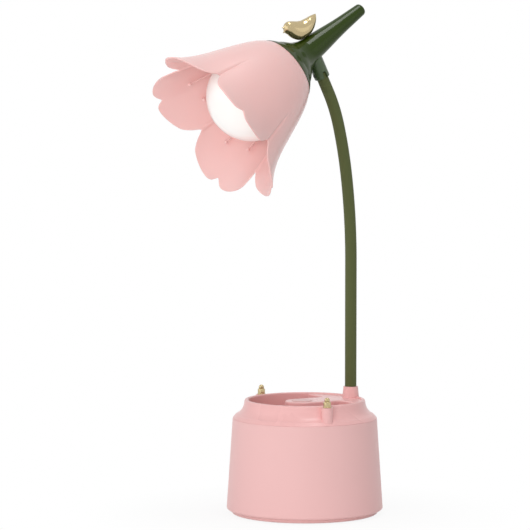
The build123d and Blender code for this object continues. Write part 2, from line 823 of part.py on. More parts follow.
def ball_end(run):
    """The stub and ball on top of a neck piece, at a joint."""
    rod(neck_place(run - 2 * shoulder_drop), stub_radius, 2 * shoulder_drop)
    with Locations(neck_place(run)):
        Sphere(ball_radius)


def cup_end(run):
    """The hollow at the foot of a neck piece that goes over the ball below."""
    with Locations(neck_place(run)):
        Sphere(ball_radius + ball_gap, mode=Mode.SUBTRACT)


with BuildPart() as neck_root:
    rod(upright(0, stem_y, root_foot), thread_radius, collar_top - root_foot)
    rod(upright(0, stem_y, collar_seat), neck_radius,
        collar_top - collar_seat + joint_runs[0] - shoulder_drop)
    ball_end(joint_runs[0])
    rod(upright(0, stem_y, root_foot), neck_bore,
        collar_top - root_foot + joint_runs[0] + ball_radius + cut_over, mode=Mode.SUBTRACT)
finish(neck_root, "neck_root")

for n, (low, high) in enumerate(zip(joint_runs, joint_runs[1:]), start=1):
    with BuildPart() as neck_link:
        swept(low - cup_reach, high - shoulder_drop, neck_radius)
        ball_end(high)
        cup_end(low)
        swept(low, high + ball_radius + cut_over, neck_bore, mode=Mode.SUBTRACT)
    finish(neck_link, f"neck_link_{n}")

with BuildPart() as neck_tip:
    swept(joint_runs[-1] - cup_reach, grip_high, neck_radius)
    cup_end(joint_runs[-1])
    swept(joint_runs[-1], grip_high, neck_bore, mode=Mode.SUBTRACT)
finish(neck_tip, "neck_tip")

# Collar under the horn: a tube whose foot is slotted into two cheeks, with a grub screw
with BuildPart() as neck_collar:
    grip_foot = neck_place(grip_low)
    rod(grip_foot, grip_radius, grip_length)
    fillet(neck_collar.edges().filter_by(GeomType.CIRCLE), radius=grip_round)
    rod(grip_foot, grip_bore, grip_length, mode=Mode.SUBTRACT)
    with BuildSketch(Plane(origin=grip_foot.origin, x_dir=grip_foot.y_dir,
                           z_dir=grip_foot.x_dir)) as cheek_slot:
        with Locations((0, 0)):
            SlotOverall(2 * cheek_slot_height, cheek_slot_width, rotation=90)
    extrude(amount=grip_radius + cut_over, both=True, mode=Mode.SUBTRACT)
    screw_place = Plane(origin=grip_foot.origin + grip_foot.z_dir * grip_screw_rise,
                        x_dir=grip_foot.z_dir, z_dir=-grip_foot.y_dir)
    rod(screw_place, grip_screw_radius + fit_gap, grip_radius + cut_over, mode=Mode.SUBTRACT)
finish(neck_collar, "neck_collar")

with BuildPart() as collar_screw:
    screw_foot = Plane(origin=screw_place.origin + screw_place.z_dir * (neck_radius + fit_gap),
                       x_dir=screw_place.x_dir, z_dir=screw_place.z_dir)
    screw_long = grip_radius - neck_radius + grip_screw_proud
    rod(screw_foot, grip_screw_radius, screw_long)
    with BuildSketch(Plane(origin=screw_foot.origin + screw_foot.z_dir * screw_long,
                           x_dir=screw_foot.x_dir, z_dir=screw_foot.z_dir)):
        RegularPolygon(grip_screw_radius / 2, 6)
    extrude(amount=-screw_long / 2, mode=Mode.SUBTRACT)
finish(collar_screw, "collar_screw")

# Calyx and horn: a trumpet turned about the flower's axis
head_axis = Axis(head.origin, head.z_dir)
head_section = Plane(origin=head.origin, x_dir=head.x_dir, z_dir=-head.y_dir)
head_screw_spots = [polar(head_boss_reach, 90 + 360 / head_screw_count * n)
                    for n in range(head_screw_count)]


def bell_radius(depth):
    """The outer radius of a petal's middle at a depth."""
    return (shade_root_radius + bell_widening * depth + bell_swell * (1 - exp(-depth / bell_swell_run))
            + bell_flare * (exp((depth - shade_depth) / bell_flare_run)
                            - exp(-shade_depth / bell_flare_run)))


def horn_point(depth_share, radius_share):
    """A point of the horn's outline, back from the shade's root."""
    return (radius_share * calyx_radius, -depth_share * horn_length)


calyx_skirt = [(bell_radius(depth) + calyx_gap, depth) for depth in (calyx_reach, calyx_reach / 2, 0)]
horn_outer = [(r + calyx_lip, t) for r, t in calyx_skirt] + [horn_point(*s) for s in horn_outline_shares]
horn_inner = [horn_point(*s) for s in horn_hollow_shares]
shade_back = [(shade_root_radius, 0), (shade_back_mid_radius, -shade_back_mid_depth),
              (shade_back_radius, -shade_back_depth)]
with BuildPart() as calyx_horn:
    with BuildSketch(head_section):
        with BuildLine():
            Spline(*horn_outer)
            Line(horn_outer[-1], (horn_tip_radius, -horn_length))
            Polyline((horn_tip_radius, -horn_length), (0, -horn_length),
                     (0, horn_inner[-1][1]), horn_inner[-1])
            Spline(*horn_inner[::-1])
            Polyline(horn_inner[0], (horn_inner[0][0], shade_back[2][1] - part_gap),
                     *[(r, t - part_gap) for r, t in shade_back[:0:-1]], calyx_skirt[-1])
            Spline(*calyx_skirt[::-1])
            Line(calyx_skirt[0], horn_outer[0])
        make_face()
    revolve(axis=head_axis)
    for x, y in head_screw_spots:
        frame = Plane(origin=flower(-head_boss_depth).from_local_coords((x, y, 0)),
                      x_dir=head.x_dir, z_dir=head.z_dir)
        rod(frame, head_boss_radius, head_boss_depth - shade_back_depth - part_gap)
        rod(frame, head_screw_radius + fit_gap, head_boss_depth, mode=Mode.SUBTRACT)
    rod(neck_place(grip_low), grip_radius + fit_gap, grip_length + fit_gap, mode=Mode.SUBTRACT)
    seat_frame = Plane(origin=flower(-bird_seat_depth).origin, x_dir=head.x_dir,
                       z_dir=head.y_dir)
    rod(seat_frame, bird_pin_radius + fit_gap, calyx_radius, mode=Mode.SUBTRACT)
finish(calyx_horn, "calyx_horn")


# Bird that sits on the horn: a lofted body from head to tail, with a small beak
def horn_radius(depth):
    """The horn's outer radius at a depth behind the shade's root, between points."""
    points = [(-t, r) for r, t in horn_outer]
    for (t0, r0), (t1, r1) in zip(points, points[1:]):
        if t0 <= depth <= t1:
            return r0 + (r1 - r0) * (depth - t0) / (t1 - t0)
    return horn_tip_radius


bird_seat = (flower(-bird_seat_depth).origin
             + head.y_dir * (horn_radius(bird_seat_depth) + bird_seat_lift))


def bird_place(back, up, tilt):
    """A section plane of the bird, square to its spine."""
    lean = radians(tilt)
    return Plane(origin=bird_seat + Vector(0, back * bird_length, up * bird_length),
                 x_dir=(-1, 0, 0), z_dir=(0, cos(lean), sin(lean)))


with BuildPart() as bird:
    sections = []
    for (back, up, tall, wide), tilt in zip(bird_station_shares, bird_station_tilts):
        with BuildSketch(bird_place(back, up, tilt)) as section:
            Ellipse(wide * bird_length, tall * bird_length)
        sections.append(section.sketch)
    loft(sections)
    back, up = beak_place_shares
    for droop, reach in zip(beak_droops, beak_reaches):
        turned(bird_place(back, up, 180 + droop), [
            (0, 0), (beak_root_radius, 0), (beak_tip_radius, reach), (0, reach)])
    rod(Plane(origin=bird_seat + head.y_dir * bird_pin_length, x_dir=(1, 0, 0),
              z_dir=-head.y_dir), bird_pin_radius, 2 * bird_pin_length)
finish(bird, "bird")


# Shade: a five-petalled bell, lofted through rings of five arcs
def petal_ring(depth, crown, valley):
    """A closed ring of arcs: crowns on the petals' middles and valleys between them."""
    step = 360 / petal_count
    with BuildSketch(flower(depth)) as ring:
        with BuildLine():
            for n in range(petal_count):
                middle = 90 - petal_turn - step * n
                ThreePointArc(polar(valley, middle + step / 2), polar(crown, middle),
                              polar(valley, middle - step / 2))
        make_face()
    return ring.sketch


def crease(depth):
    """How far the valley between two petals lies inside the petals' middles."""
    past = max(depth - crease_start, 0) / (valley_depth - crease_start)
    return crease_depth * past * past


def wall_across(depth):
    """The wall measured square to the flower's axis, which grows where the bell is steep."""
    slope = (bell_radius(depth + shade_wall) - bell_radius(depth)) / shade_wall
    return shade_wall * sqrt(1 + slope * slope)


shade_depths = [share * shade_depth for share in ring_shares]
inner_root = shade_root_radius - wall_across(0)


def mouth_cut(turn, half_width, depth, shares, foot_round):
    """A cut that opens towards the mouth, square to one direction around the flower's axis."""
    outwards = head.y_dir * cos(radians(turn)) + head.x_dir * sin(radians(turn))
    low = shade_depth - depth
    with BuildSketch(Plane(origin=head.origin, x_dir=head.z_dir.cross(outwards),
                           z_dir=outwards)) as cut:
        with BuildLine():
            for side in (-1, 1):
                Spline((0, low), *[(side * w * half_width, low + t * depth) for w, t in shares],
                       (side * half_width, shade_depth))
            Polyline((-half_width, shade_depth), (-half_width, shade_depth + cut_over),
                     (half_width, shade_depth + cut_over), (half_width, shade_depth))
        make_face()
        fillet(cut.vertices().group_by(Axis.Y)[0], radius=foot_round)
    extrude(cut.sketch, amount=bell_radius(shade_depth) + cut_over, mode=Mode.SUBTRACT)


with BuildPart() as flower_shade:
    loft([petal_ring(depth, bell_radius(depth), bell_radius(depth) - crease(depth))
          for depth in shade_depths])
    turned(head, [(0, -shade_back_depth), (shade_back_radius, -shade_back_depth),
                  (shade_back_mid_radius, -shade_back_mid_depth), (shade_root_radius, 0), (0, 0)])
    loft([petal_ring(depth, bell_radius(depth) - wall_across(depth),
                     bell_radius(depth) - wall_across(depth) - crease(depth))
          for depth in shade_depths], mode=Mode.SUBTRACT)
    turned(head, [(0, shade_wall - shade_back_depth),
                  (holder_foot_radius + part_gap, shade_wall - shade_back_depth),
                  (inner_root, 0), (0, 0)], mode=Mode.SUBTRACT)
    rod(flower(-shade_back_depth), shade_hole_radius, shade_wall, mode=Mode.SUBTRACT)
    for x, y in head_screw_spots:
        rod(Plane(origin=flower(-shade_back_depth).from_local_coords((x, y, 0)),
                  x_dir=head.x_dir, z_dir=head.z_dir),
            head_screw_radius + part_gap, shade_wall, mode=Mode.SUBTRACT)
    for n in range(petal_count):
        middle = petal_turn + 360 / petal_count * n
        mouth_cut(middle + 180 / petal_count, gap_half_width, shade_depth - valley_depth,
                  gap_outline_shares, gap_foot_round)
        mouth_cut(middle, notch_half_width, notch_depth, notch_outline_shares, notch_foot_round)
finish(flower_shade, "flower_shade")

# Bulb holder: a cup on the shade's floor, with the LED board inside it
holder_foot = shade_wall - shade_back_depth
with BuildPart() as lamp_holder:
    turned(head, [
        (holder_hole_radius, holder_foot), (holder_foot_radius, holder_foot),
        (holder_flare_radius, -holder_flare_depth), (holder_mid_radius, holder_mid_height),
        (holder_radius, holder_shoulder_height), (holder_radius, holder_top),
        (globe_neck_radius + part_gap, holder_top), (globe_neck_radius + part_gap, holder_step),
        (holder_step_radius, holder_step), (holder_step_radius, holder_floor),
        (holder_hole_radius, holder_floor)])
    with Locations(flower(holder_floor)):
        with Locations(*head_screw_spots):
            CounterSinkHole(head_screw_radius + part_gap, head_screw_head_radius + part_gap,
                            depth=holder_floor - holder_foot + cut_over)
finish(lamp_holder, "lamp_holder")

with BuildPart() as shade_screws:
    for x, y in head_screw_spots:
        sunk_screw(Plane(origin=flower(holder_floor - slide_gap).from_local_coords((x, y, 0)),
                         x_dir=head.x_dir, z_dir=head.z_dir),
                   head_screw_radius, head_screw_length, head_screw_head_radius)
finish(shade_screws, "shade_screws")

with BuildPart() as led_board:
    rod(flower(holder_floor), led_board_radius, board_thickness)
finish(led_board, "led_board")

with BuildPart() as led_chips:
    with BuildSketch(flower(holder_floor + board_thickness)):
        Rectangle(led_size, led_size)
        with PolarLocations(led_reach, led_count):
            Rectangle(led_size, led_size)
    extrude(amount=led_height)
finish(led_chips, "led_chips")

with BuildPart() as lamp_lead:
    lead_start = neck_place(grip_high)
    crossing = neck_place(neck_length).origin
    lead([tuple(lead_start.origin - lead_start.z_dir * lead_bend), tuple(crossing),
          tuple(flower(holder_floor).origin)], lead_bend)
finish(lamp_lead, "lamp_lead")

# Globe: a frosted ball with a short neck that stands in the holder
with BuildPart() as globe_diffuser:
    mouth_radius = sqrt(globe_radius ** 2 - (globe_centre - globe_mouth_depth) ** 2)
    inner_radius = globe_radius - globe_wall
    inner_mouth = globe_mouth_depth + globe_wall / 2
    inner_mouth_radius = sqrt(inner_radius ** 2 - (globe_centre - inner_mouth) ** 2)
    with BuildSketch(head_section):
        with BuildLine():
            Polyline((globe_neck_radius - globe_wall, holder_step), (globe_neck_radius, holder_step),
                     (globe_neck_radius, globe_neck_top), (mouth_radius, globe_mouth_depth))
            ThreePointArc((mouth_radius, globe_mouth_depth), (globe_radius, globe_centre),
                          (0, globe_centre + globe_radius))
            Line((0, globe_centre + globe_radius), (0, globe_centre + inner_radius))
            ThreePointArc((0, globe_centre + inner_radius), (inner_radius, globe_centre),
                          (inner_mouth_radius, inner_mouth))
            Polyline((inner_mouth_radius, inner_mouth),
                     (globe_neck_radius - globe_wall, globe_neck_top),
                     (globe_neck_radius - globe_wall, holder_step))
        make_face()
    revolve(axis=head_axis)
finish(globe_diffuser, "globe_diffuser")

# Stamens: thin stalks with knobs, on a ring that the holder carries
with BuildPart() as stamen_ring:
    with BuildSketch(flower(holder_top)):
        Circle(stamen_ring_radius)
        Circle(globe_neck_radius + part_gap, mode=Mode.SUBTRACT)
    extrude(amount=stamen_ring_thickness)
    for n in range(2 * petal_count):
        odd = n % 2
        turn = 90 - petal_turn - 360 / petal_count * (n // 2)
        turn += stamen_side_angle * (1 if odd else -1)
        tip_gap, tip_depth = ((stamen_short_gap, stamen_short_depth) if odd
                              else (stamen_long_gap, stamen_long_depth))
        places = [flower(t).from_local_coords((*polar(r, turn), 0)) for r, t in (
            (stamen_root_radius, holder_top + stamen_ring_thickness / 2),
            (bell_radius(stamen_mid_depth) - stamen_mid_gap, stamen_mid_depth),
            (bell_radius(tip_depth) - tip_gap, tip_depth))]
        with BuildLine() as stalk:
            ThreePointArc(*places)
        with BuildSketch(Plane(origin=places[0], z_dir=stalk.edge() % 0)) as section:
            Circle(stamen_radius)
        sweep(section.sketch, path=stalk.wire())
        with Locations(Plane(origin=places[2])):
            Sphere(stamen_knob_radius)
finish(stamen_ring, "stamen_ring")
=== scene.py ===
# %% [markdown]
# # A flower desk lamp, dressed
# The lamp was first drawn as a solid model in real sizes. This lesson loads that model as a
# fixed frame and gives it its looks: smooth moulded petals, a trumpet-shaped calyx with a
# polished bird, a sleeved neck that bends, a lit globe and a storage base in satin pink.
# Every new piece is a surface worked out with numpy, in metres, in the frame of the model.

# %% Load the model
import bpy
import numpy as np
from math import cos, pi, radians, sin
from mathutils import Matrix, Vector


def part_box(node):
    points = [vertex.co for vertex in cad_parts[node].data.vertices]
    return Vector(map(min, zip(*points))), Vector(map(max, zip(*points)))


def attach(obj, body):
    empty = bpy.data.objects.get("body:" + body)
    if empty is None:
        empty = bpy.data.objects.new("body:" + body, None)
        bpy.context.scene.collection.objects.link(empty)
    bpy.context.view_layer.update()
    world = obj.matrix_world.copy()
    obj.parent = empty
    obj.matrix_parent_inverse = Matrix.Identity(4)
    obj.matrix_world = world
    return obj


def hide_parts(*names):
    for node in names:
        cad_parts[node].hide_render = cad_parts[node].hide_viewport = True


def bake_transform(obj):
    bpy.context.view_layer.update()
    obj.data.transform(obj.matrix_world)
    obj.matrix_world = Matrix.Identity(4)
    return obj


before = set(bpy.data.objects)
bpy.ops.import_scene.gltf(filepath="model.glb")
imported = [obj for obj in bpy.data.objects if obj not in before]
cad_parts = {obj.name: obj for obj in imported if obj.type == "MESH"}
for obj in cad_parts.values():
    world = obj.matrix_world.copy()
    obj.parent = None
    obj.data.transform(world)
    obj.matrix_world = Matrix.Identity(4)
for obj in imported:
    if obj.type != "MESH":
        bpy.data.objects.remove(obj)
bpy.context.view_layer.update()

# %% [markdown]
# ## The camera
# The photograph was taken from far away with a long lens, a little above the level of the
# flower. A long lens keeps upright edges almost parallel, so the camera stands over two metres
# off. It comes first, so that every later step can be looked at from the same place.

# %% Make the camera
from mathutils import Vector

lens = bpy.data.cameras.new("long_lens")
lens.lens = 213.1
lens.sensor_width = 36.0
camera = bpy.data.objects.new("camera", lens)
bpy.context.scene.collection.objects.link(camera)
bpy.context.scene.camera = camera
camera.location = (1.9715, -1.1846, 0.3658)
camera.rotation_mode = "QUATERNION"
camera.rotation_quaternion = Vector((-0.8610, 0.5025, -0.0788)).to_track_quat("-Z", "Y")
bpy.context.scene.view_settings.view_transform = "Standard"
print("camera at", tuple(round(v, 3) for v in camera.location))

# %% [markdown]
# ## From a grid of points to a mesh
# Nearly every piece of this lamp was turned, moulded or drawn over a form, so it can be
# written as a function of two parameters: one runs round the piece and one runs along it.
# The function gives a grid of points as one numpy array, and one helper turns any such grid
# into faces. A row that closes on a single point makes a pole, and merging the doubled points
# there closes it.


# %% A mesh from a grid
import bmesh


def grid_piece(name, grid, sharp_deg=40.0):
    """A closed or open mesh from an array of points (along, around, 3).

    Point (i, j) joins (i + 1, j) and (i, j + 1), and the last column joins the first one.
    """
    rows, columns, _ = grid.shape
    i, j = np.meshgrid(np.arange(rows - 1), np.arange(columns), indexing="ij")
    k = (j + 1) % columns
    faces = np.stack([i * columns + j, i * columns + k, (i + 1) * columns + k,
                      (i + 1) * columns + j], axis=-1).reshape(-1, 4)
    mesh = bpy.data.meshes.new(name)
    mesh.from_pydata(grid.reshape(-1, 3).tolist(), [], faces.tolist())
    shape = bmesh.new()
    shape.from_mesh(mesh)
    bmesh.ops.remove_doubles(shape, verts=shape.verts, dist=1e-6)
    bmesh.ops.recalc_face_normals(shape, faces=shape.faces)
    shape.to_mesh(mesh)
    shape.free()
    mesh.shade_smooth()
    mesh.set_sharp_from_angle(angle=radians(sharp_deg))
    piece = bpy.data.objects.new(name, mesh)
    bpy.context.scene.collection.objects.link(piece)
    print(name, len(mesh.vertices), "points,", len(mesh.polygons), "faces")
    return piece


# %% [markdown]
# ## Smooth curves through measured points
# Outlines were read off the photograph at a few places. A plain spline through them overshoots
# where the outline turns quickly. This one is monotone: it never rises or falls past the
# points that it joins, because its slope at each point is the harmonic mean of the slopes on
# both sides, or zero where they differ in sign.


# %% A monotone curve through points
def through(x, places, values):
    """Cubic Hermite curve through (places, values), read at x; places rise."""
    p, v = np.asarray(places, float), np.asarray(values, float)
    run = np.diff(p)
    rise = np.diff(v) / run
    left, right = rise[:-1], rise[1:]
    total = np.where(left + right == 0, 1, left + right)
    both = np.where(left * right > 0, 2 * left * right / total, 0)
    slope = np.concatenate([[rise[0]], both, [rise[-1]]])
    x = np.clip(np.asarray(x, float), p[0], p[-1])
    n = np.clip(np.searchsorted(p, x, side="right") - 1, 0, len(p) - 2)
    s = (x - p[n]) / run[n]
    return (v[n] * (1 + 2 * s) * (1 - s) ** 2 + v[n + 1] * s * s * (3 - 2 * s)
            + run[n] * s * (1 - s) * (slope[n] * (1 - s) - slope[n + 1] * s))


# %% [markdown]
# ## The flower's own axis
# The flower leans 34 degrees below the level and looks over the tray. Its pieces are written
# in depth along its axis, counted from the shade's root towards the mouth, radius from the axis,
# and angle round it, and one function turns these into places in the lamp's frame.

# %% Places round the flower's axis
mm = 0.001
lean = radians(34.0)
shade_root = np.array([0.0, -12.605, 330.758])
axis_out = np.array([0.0, -cos(lean), -sin(lean)])
axis_up = np.array([0.0, -sin(lean), cos(lean)])
axis_side = np.array([1.0, 0.0, 0.0])


def on_flower(depth, radius, angle):
    """depth along the axis, plus radius times a unit vector turned by angle from the top."""
    depth, radius, angle = np.broadcast_arrays(depth, radius, angle)
    across = np.cos(angle)[..., None] * axis_up + np.sin(angle)[..., None] * axis_side
    return (shade_root + depth[..., None] * axis_out + radius[..., None] * across) * mm


print("shade root at", shade_root, "mm")


# %% A piece turned on the flower's axis
def turned_on_flower(name, depths, radii, steps=160):
    """A profile of (depth, radius) points carried once round the flower's axis."""
    angle = np.linspace(0, 2 * pi, steps, endpoint=False)
    grid = on_flower(np.asarray(depths, float)[:, None], np.asarray(radii, float)[:, None],
                     angle[None, :])
    return grid_piece(name, grid)


# %% [markdown]
# ## A grain that every moulded piece shares
# Moulded plastic is never a single flat colour. Its pigment clouds a little over centimetres,
# and its skin has a fine grain well under a millimetre across, which breaks up the gloss. Both
# are noise in the object's own coordinates. They are built once as a node group, and each
# material sets how strong they are.


# %% The shared grain as a node group
def socket(tree, name, kind, way, value=None):
    """Adds one named input or output to a node group."""
    made = tree.interface.new_socket(name=name, in_out=way, socket_type=kind)
    if value is not None:
        made.default_value = value
    return made


grain = bpy.data.node_groups.new("moulded_grain", "ShaderNodeTree")
socket(grain, "Colour", "NodeSocketColor", "INPUT", (0.8, 0.8, 0.8, 1))
socket(grain, "Cloud", "NodeSocketFloat", "INPUT", 0.04)
socket(grain, "Cloud Scale", "NodeSocketFloat", "INPUT", 22.0)
socket(grain, "Grain Scale", "NodeSocketFloat", "INPUT", 1600.0)
socket(grain, "Roughness", "NodeSocketFloat", "INPUT", 0.45)
socket(grain, "Roughness Spread", "NodeSocketFloat", "INPUT", 0.08)
socket(grain, "Colour", "NodeSocketColor", "OUTPUT")
socket(grain, "Roughness", "NodeSocketFloat", "OUTPUT")
socket(grain, "Height", "NodeSocketFloat", "OUTPUT")

n, link = grain.nodes, grain.links.new
into, out = n.new("NodeGroupInput"), n.new("NodeGroupOutput")
place = n.new("ShaderNodeTexCoord")
cloud, fine = n.new("ShaderNodeTexNoise"), n.new("ShaderNodeTexNoise")
cloud.inputs["Detail"].default_value = 3.0
fine.inputs["Detail"].default_value = 2.0
link(place.outputs["Object"], cloud.inputs["Vector"])
link(place.outputs["Object"], fine.inputs["Vector"])
link(into.outputs["Cloud Scale"], cloud.inputs["Scale"])
link(into.outputs["Grain Scale"], fine.inputs["Scale"])
centred, amount, lift = n.new("ShaderNodeMath"), n.new("ShaderNodeMath"), n.new("ShaderNodeMath")
centred.operation, amount.operation, lift.operation = "SUBTRACT", "MULTIPLY", "ADD"
centred.inputs[1].default_value = 0.5
lift.inputs[1].default_value = 1.0
link(cloud.outputs["Fac"], centred.inputs[0])
link(centred.outputs[0], amount.inputs[0])
link(into.outputs["Cloud"], amount.inputs[1])
link(amount.outputs[0], lift.inputs[0])
shaded = n.new("ShaderNodeVectorMath")
shaded.operation = "SCALE"
link(into.outputs["Colour"], shaded.inputs[0])
link(lift.outputs[0], shaded.inputs["Scale"])
link(shaded.outputs[0], out.inputs["Colour"])
rough = n.new("ShaderNodeMath")
rough.operation = "MULTIPLY_ADD"
link(centred.outputs[0], rough.inputs[0])
link(into.outputs["Roughness Spread"], rough.inputs[1])
link(into.outputs["Roughness"], rough.inputs[2])
link(rough.outputs[0], out.inputs["Roughness"])
link(fine.outputs["Fac"], out.inputs["Height"])
print("moulded_grain has", len(n), "nodes")


# %% A material that carries the grain
def srgb(*parts):
    """sRGB parts from 0 to 255 as a linear colour with alpha."""
    c = np.array(parts, float) / 255
    c = np.where(c <= 0.04045, c / 12.92, ((c + 0.055) / 1.055) ** 2.4)
    return (*c.tolist(), 1.0)


def finish_of(name, colour, roughness, cloud=0.04, spread=0.08, bump=0.1, bump_size=0.00004,
              cloud_scale=22.0, grain_scale=1600.0, **sockets):
    """A Principled material fed by the moulded grain; other sockets are set by name."""
    made = bpy.data.materials.new(name)
    made.use_nodes = True
    made.diffuse_color = colour
    tree = made.node_tree
    shader = tree.nodes["Principled BSDF"]
    skin = tree.nodes.new("ShaderNodeGroup")
    skin.node_tree = grain
    for key, value in (("Colour", colour), ("Cloud", cloud), ("Cloud Scale", cloud_scale),
                       ("Grain Scale", grain_scale), ("Roughness", roughness),
                       ("Roughness Spread", spread)):
        skin.inputs[key].default_value = value
    dent = tree.nodes.new("ShaderNodeBump")
    dent.inputs["Strength"].default_value = bump
    dent.inputs["Distance"].default_value = bump_size
    tree.links.new(skin.outputs["Colour"], shader.inputs["Base Color"])
    tree.links.new(skin.outputs["Roughness"], shader.inputs["Roughness"])
    tree.links.new(skin.outputs["Height"], dent.inputs["Height"])
    tree.links.new(dent.outputs["Normal"], shader.inputs["Normal"])
    for key, value in sockets.items():
        shader.inputs[key.replace("_", " ")].default_value = value
    return made


def dress(piece, material):
    """Gives a piece or a carried-over solid one material on all its faces."""
    piece.data.materials.clear()
    piece.data.materials.append(material)


# %% [markdown]
# ## Finishes of the lamp
# The base and the petals are satin pink plastic. The petals are thinner, so a little light
# passes into them, and they have a soft sheen that brightens their edges. The calyx and the
# horn are dark green with a polished skin over the colour, which the coat gives. The neck
# wears a matt olive sleeve. The bird and the two pegs are plated in a pale gold that mirrors
# the room.

# %% Make the finishes
pink_shell = finish_of("satin_pink_shell", srgb(240, 192, 190), 0.42, bump=0.12)
pink_petal = finish_of("satin_pink_petal", srgb(240, 191, 187), 0.46, bump=0.10,
                       Subsurface_Weight=0.12, Subsurface_Scale=0.004,
                       Subsurface_Radius=(1.0, 0.45, 0.4), Coat_Weight=0.7, Coat_Roughness=0.25)
pink_cover = finish_of("polished_pink_cover", srgb(240, 186, 184), 0.28, bump=0.06,
                       Specular_IOR_Level=0.35)
pink_stamen = finish_of("pale_pink_stamen", srgb(242, 198, 194), 0.50, cloud=0.02)
pink_button = finish_of("satin_pink_button", srgb(222, 178, 175), 0.38, cloud=0.03, bump=0.05)
green_polish = finish_of("polished_dark_green", srgb(43, 62, 3), 0.34, cloud=0.08, bump=0.05,
                         Specular_IOR_Level=0.06, Coat_Weight=0.32, Coat_Roughness=0.08)
olive_sleeve = finish_of("matt_olive_sleeve", srgb(84, 91, 52), 0.62, cloud=0.10, spread=0.12,
                         bump=0.35, bump_size=0.00008, grain_scale=900.0, Specular_IOR_Level=0.3)
green_clamp = finish_of("satin_green_clamp", srgb(58, 78, 42), 0.40, cloud=0.06,
                        Coat_Weight=0.25, Coat_Roughness=0.25)
pale_gold = finish_of("polished_pale_gold", srgb(192, 174, 134), 0.16, cloud=0.03, spread=0.05,
                      bump=0.03, Metallic=0.86)
opal = finish_of("opal_white", srgb(252, 251, 248), 0.22, cloud=0.01, spread=0.02, bump=0.01,
                 Coat_Weight=0.4, Coat_Roughness=0.05, Emission_Color=srgb(255, 252, 246),
                 Emission_Strength=0.04)
inner_white = finish_of("matt_white_plastic", srgb(224, 214, 208), 0.55)
steel = finish_of("screw_steel", srgb(176, 176, 178), 0.32, cloud=0.05, Metallic=1.0)
dark_steel = finish_of("blackened_steel", srgb(52, 58, 50), 0.40, cloud=0.05, Metallic=0.8)
rubber = finish_of("black_rubber", srgb(46, 44, 44), 0.75, cloud=0.12, bump=0.4)
iron = finish_of("cast_iron", srgb(74, 74, 76), 0.70, cloud=0.18, bump=0.6, bump_size=0.0003,
                 grain_scale=600.0, Metallic=0.6)
board = finish_of("board_green", srgb(38, 96, 58), 0.40, cloud=0.06)
black = finish_of("black_moulding", srgb(34, 34, 36), 0.50)
cell_wrap = finish_of("cell_sleeve_blue", srgb(52, 84, 150), 0.30)
lead_red = finish_of("red_lead", srgb(178, 52, 44), 0.45)
cream = finish_of("cream_plug", srgb(232, 228, 214), 0.50)
led_yellow = finish_of("led_yellow", srgb(246, 226, 120), 0.30)
print(len(bpy.data.materials), "finishes")

# %% [markdown]
# ## Dress the carried-over solids
# Screws, boards, leads and clamps keep their solid shapes, and each gets the finish that the
# real piece has. The shell, the plate and the cover with its tray stay as they are too, because
# turning and rounding already give their true shape.

# %% Finishes for the solids
worn_by = {
    pink_shell: ["body_shell", "bottom_plate"],
    pink_cover: ["top_cover"],
    green_clamp: ["neck_collar"],
    dark_steel: ["collar_screw"],
    pink_stamen: ["stamen_ring"],
    inner_white: ["lamp_holder", "battery_cradle", "led_board", "indicator_lens"],
    pink_button: ["power_button"],
    steel: ["shade_screws", "plate_screws", "board_screws", "switch_board_screws",
            "ballast_screw", "charge_socket", "neck_nut"],
    rubber: ["rubber_feet"],
    iron: ["ballast_plate"],
    board: ["main_board", "switch_board"],
    black: ["switch_body", "switch_plunger", "board_parts"],
    cell_wrap: ["battery_cell"],
    lead_red: ["battery_leads", "switch_lead", "neck_lead", "lamp_lead"],
    cream: ["board_plugs"],
    led_yellow: ["led_chips"],
}
for material, names in worn_by.items():
    for name in names:
        dress(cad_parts[name], material)
print(sum(len(names) for names in worn_by.values()), "solids dressed")

# %% [markdown]
# ## The shade
# The shade is one moulded bell with five petals. Its radius grows along the axis in three
# steps: a quick swell out of the calyx, a steady widening, and a flare at the mouth. Across
# the axis each petal is an arc of a circle, so the arcs meet in creases that deepen towards
# the mouth, and a narrow groove marks each crease. The edge is a curve of depth against
# angle: deepest at the two lobes of a petal, with a small notch between them and a deep
# valley between petals. Real petals are never all alike, so each one has its own reach and
# its own outward curl. The grid follows the edge, so no face has to be cut.

# %% The bell and its petals
petal_count, petal_turn = 5, radians(3.0)
petal_step = 2 * pi / petal_count
edge_angles = (0.0, 1.2, 2.6, 4.6, 7.2, 10.0, 19.0, 26.4, 29.0, 31.0, 34.5, 36.0)
edge_depths = (78.0, 78.7, 80.1, 81.6, 82.2, 82.0, 79.9, 76.9, 74.5, 72.2, 67.4, 66.2)
valley_depth, crease_start = 66.2, 36.0
petal_reach = (0.77, 0.90, 0.87, 1.00, 0.92)
petal_curl = (0.0, 0.0, 2.4, 0.0, 0.0)
bell_root, bell_slope, shade_depth = 20.0, 0.296, 82
swell, swell_run, flare, flare_run = 9.2, 10.6, 10.8, 16
crease_inset, groove_depth, groove_width, groove_fade = 3.4, 0.8, radians(1.3), 14
curl_start, curl_run = 52, 30


def bell_radius(depth):
    """Root + slope t + swell (1 - e^(-t / its run)) + flare e^((t - shade depth) / its run).

    The flare's own value at the root, where t is 0, is taken off again.
    """
    return (bell_root + bell_slope * depth + swell * (1 - np.exp(-depth / swell_run))
            + flare * (np.exp((depth - shade_depth) / flare_run)
                       - np.exp(-shade_depth / flare_run)))


